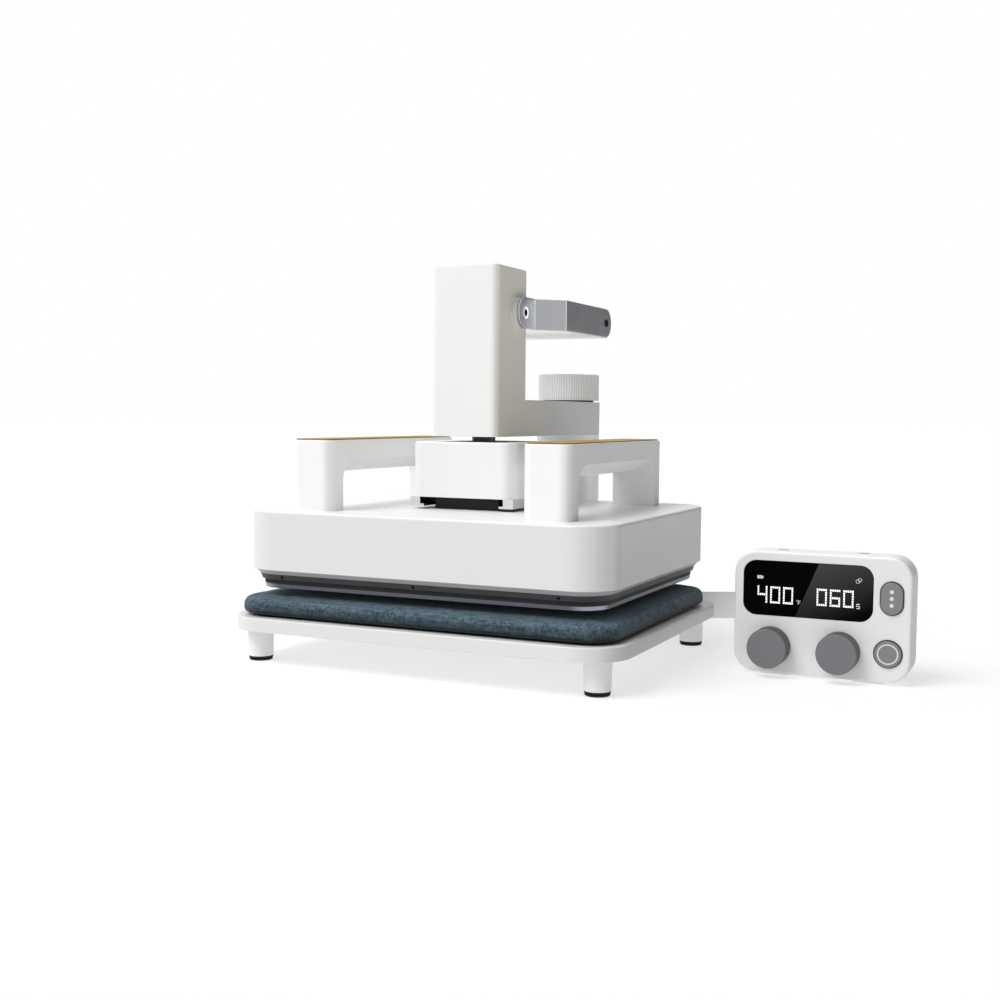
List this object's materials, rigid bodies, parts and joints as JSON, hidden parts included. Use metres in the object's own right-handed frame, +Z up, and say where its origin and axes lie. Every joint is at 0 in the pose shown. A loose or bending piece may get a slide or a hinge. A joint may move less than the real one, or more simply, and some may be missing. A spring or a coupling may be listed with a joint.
{
  "type": "heat press",
  "caption": "Swing-arm heat press: flat padded base, lever-driven heated head that slides off its coupling, and a control box on a flat bar.",
  "frame": {"origin": "middle of the footprint of the whole press with its control box, on the table top", "axes": "+X to the operator's right, where the control box stands, +Y to the back, where the post stands, +Z up"},
  "size_m": [0.654, 0.4614, 0.4072],
  "materials": {
    "base_platform": "satin white powder coat",
    "platform_legs": "smooth white moulded plastic",
    "rubber_feet": "black rubber",
    "frame_bolts": "black oxide",
    "post_base": "black satin coat",
    "post": "satin white powder coat",
    "swing_washer": "sintered bronze",
    "pad_sheet": "black anti-slip rubber",
    "pad": "dark blue-grey woven cloth",
    "control_bar": "light grey satin coat",
    "control_front": "smooth white moulded plastic",
    "control_back": "smooth white moulded plastic",
    "display_window": "gloss dark window",
    "display_module": "display module",
    "control_board": "circuit board",
    "battery": "shrink sleeve",
    "control_screws": "machined steel",
    "control_feet": "black rubber",
    "charging_port": "machined steel",
    "arm_housing": "satin white powder coat",
    "arm_cover": "black satin coat",
    "swing_bush": "sintered bronze",
    "back_cover": "satin white powder coat",
    "column_floor": "black satin coat",
    "guide_bush": "sintered bronze",
    "pivot_bosses": "smooth white moulded plastic",
    "clamp_knob": "smooth white moulded plastic",
    "knob_spindle": "black satin coat",
    "left_lever_plate": "mid grey metallic coat",
    "right_lever_plate": "mid grey metallic coat",
    "lever_grip": "pale grey moulded plastic",
    "lever_shaft": "machined steel",
    "lever_cam": "machined steel",
    "pivot_screws": "bright zinc",
    "grip_screws": "black oxide",
    "plunger_shaft": "black hard-chromed shaft",
    "return_spring": "spring wire",
    "coupling_cover": "satin white powder coat",
    "coupling_block": "machined alloy",
    "coupling_rails": "light grey satin coat",
    "rail_screws": "black oxide",
    "head_shell": "satin white powder coat",
    "head_skirt": "dark grey heat-proof plastic",
    "head_screws": "black oxide",
    "heat_gasket": "black silicone foam",
    "platen": "satin coated alloy",
    "heating_element": "sheathed heater tube",
    "insulation_blanket": "glass fibre felt",
    "thermostat": "machined steel",
    "mount_plate": "black satin coat",
    "left_handle": "smooth white moulded plastic",
    "right_handle": "smooth white moulded plastic",
    "left_handle_strip": "straw-coloured heat-proof strip",
    "right_handle_strip": "straw-coloured heat-proof strip",
    "power_inlet": "black moulded plastic",
    "temperature_dial": "mid grey soft-touch plastic",
    "time_dial": "mid grey soft-touch plastic",
    "menu_button": "mid grey plastic",
    "start_button": "mid grey plastic",
    "power_key": "smooth white moulded plastic"
  },
  "bodies": {
    "base": {"base_platform": "base_platform", "platform_legs": "platform_legs", "rubber_feet": "rubber_feet", "frame_bolts": "frame_bolts", "post_base": "post_base", "post": "post", "swing_washer": "swing_washer", "pad_sheet": "pad_sheet", "pad": "pad", "control_bar": "control_bar", "control_front": "control_front", "control_back": "control_back", "display_window": "display_window", "display_module": "display_module", "control_board": "control_board", "battery": "battery", "control_screws": "control_screws", "control_feet": "control_feet", "charging_port": "charging_port"},
    "arm": {"arm_housing": "arm_housing", "arm_cover": "arm_cover", "swing_bush": "swing_bush", "back_cover": "back_cover", "column_floor": "column_floor", "guide_bush": "guide_bush", "pivot_bosses": "pivot_bosses"},
    "clamp": {"clamp_knob": "clamp_knob", "knob_spindle": "knob_spindle"},
    "lever": {"left_lever_plate": "left_lever_plate", "right_lever_plate": "right_lever_plate", "lever_grip": "lever_grip", "lever_shaft": "lever_shaft", "lever_cam": "lever_cam", "pivot_screws": "pivot_screws", "grip_screws": "grip_screws"},
    "plunger": {"plunger_shaft": "plunger_shaft", "return_spring": "return_spring", "coupling_cover": "coupling_cover", "coupling_block": "coupling_block", "coupling_rails": "coupling_rails", "rail_screws": "rail_screws"},
    "head": {"head_shell": "head_shell", "head_skirt": "head_skirt", "head_screws": "head_screws", "heat_gasket": "heat_gasket", "platen": "platen", "heating_element": "heating_element", "insulation_blanket": "insulation_blanket", "thermostat": "thermostat", "mount_plate": "mount_plate", "left_handle": "left_handle", "right_handle": "right_handle", "left_handle_strip": "left_handle_strip", "right_handle_strip": "right_handle_strip", "power_inlet": "power_inlet"},
    "temperature_dial": {"temperature_dial": "temperature_dial"},
    "time_dial": {"time_dial": "time_dial"},
    "menu_button": {"menu_button": "menu_button"},
    "start_button": {"start_button": "start_button"},
    "power_key": {"power_key": "power_key"}
  },
  "joints": [
    {"name": "arm_swing", "type": "hinge", "parent": "base", "child": "arm", "pos_m": [-0.1125, 0.1785, 0.25], "axis": [0, 0, 1], "range_deg": [-90, 0]},
    {"name": "knob_turn", "type": "hinge", "parent": "arm", "child": "clamp", "pos_m": [-0.1125, 0.1785, 0.289], "axis": [0, 0, 1], "range_deg": [0, 180]},
    {"name": "lever_swing", "type": "hinge", "parent": "arm", "child": "lever", "pos_m": [-0.1125, -0.0575, 0.3611], "axis": [1, 0, 0], "range_deg": [0, 165]},
    {"name": "head_press", "type": "slide", "parent": "arm", "child": "plunger", "axis": [0, 0, -1], "range_m": [0, 0.008], "deforming": ["return_spring"]},
    {"name": "head_release", "type": "slide", "parent": "plunger", "child": "head", "axis": [0, -1, 0], "range_m": [0, 0.115]},
    {"name": "temperature_turn", "type": "hinge", "parent": "base", "child": "temperature_dial", "pos_m": [0.1943, -0.0475, 0.0294], "axis": [0, -1, 0], "continuous": true},
    {"name": "time_turn", "type": "hinge", "parent": "base", "child": "time_dial", "pos_m": [0.2611, -0.0475, 0.0294], "axis": [0, -1, 0], "continuous": true},
    {"name": "menu_press", "type": "slide", "parent": "base", "child": "menu_button", "axis": [0, 1, 0], "range_m": [0, 0.0012], "stiffness_N_per_m": 400},
    {"name": "start_press", "type": "slide", "parent": "base", "child": "start_button", "axis": [0, 1, 0], "range_m": [0, 0.0012], "stiffness_N_per_m": 400},
    {"name": "power_press", "type": "slide", "parent": "base", "child": "power_key", "axis": [0, 0, -1], "range_m": [0, 0.0008], "stiffness_N_per_m": 400}
  ],
  "couplings": [
    {"joint": "head_press", "follows": "lever_swing", "m_per_rad": 0.0027779}
  ]
}
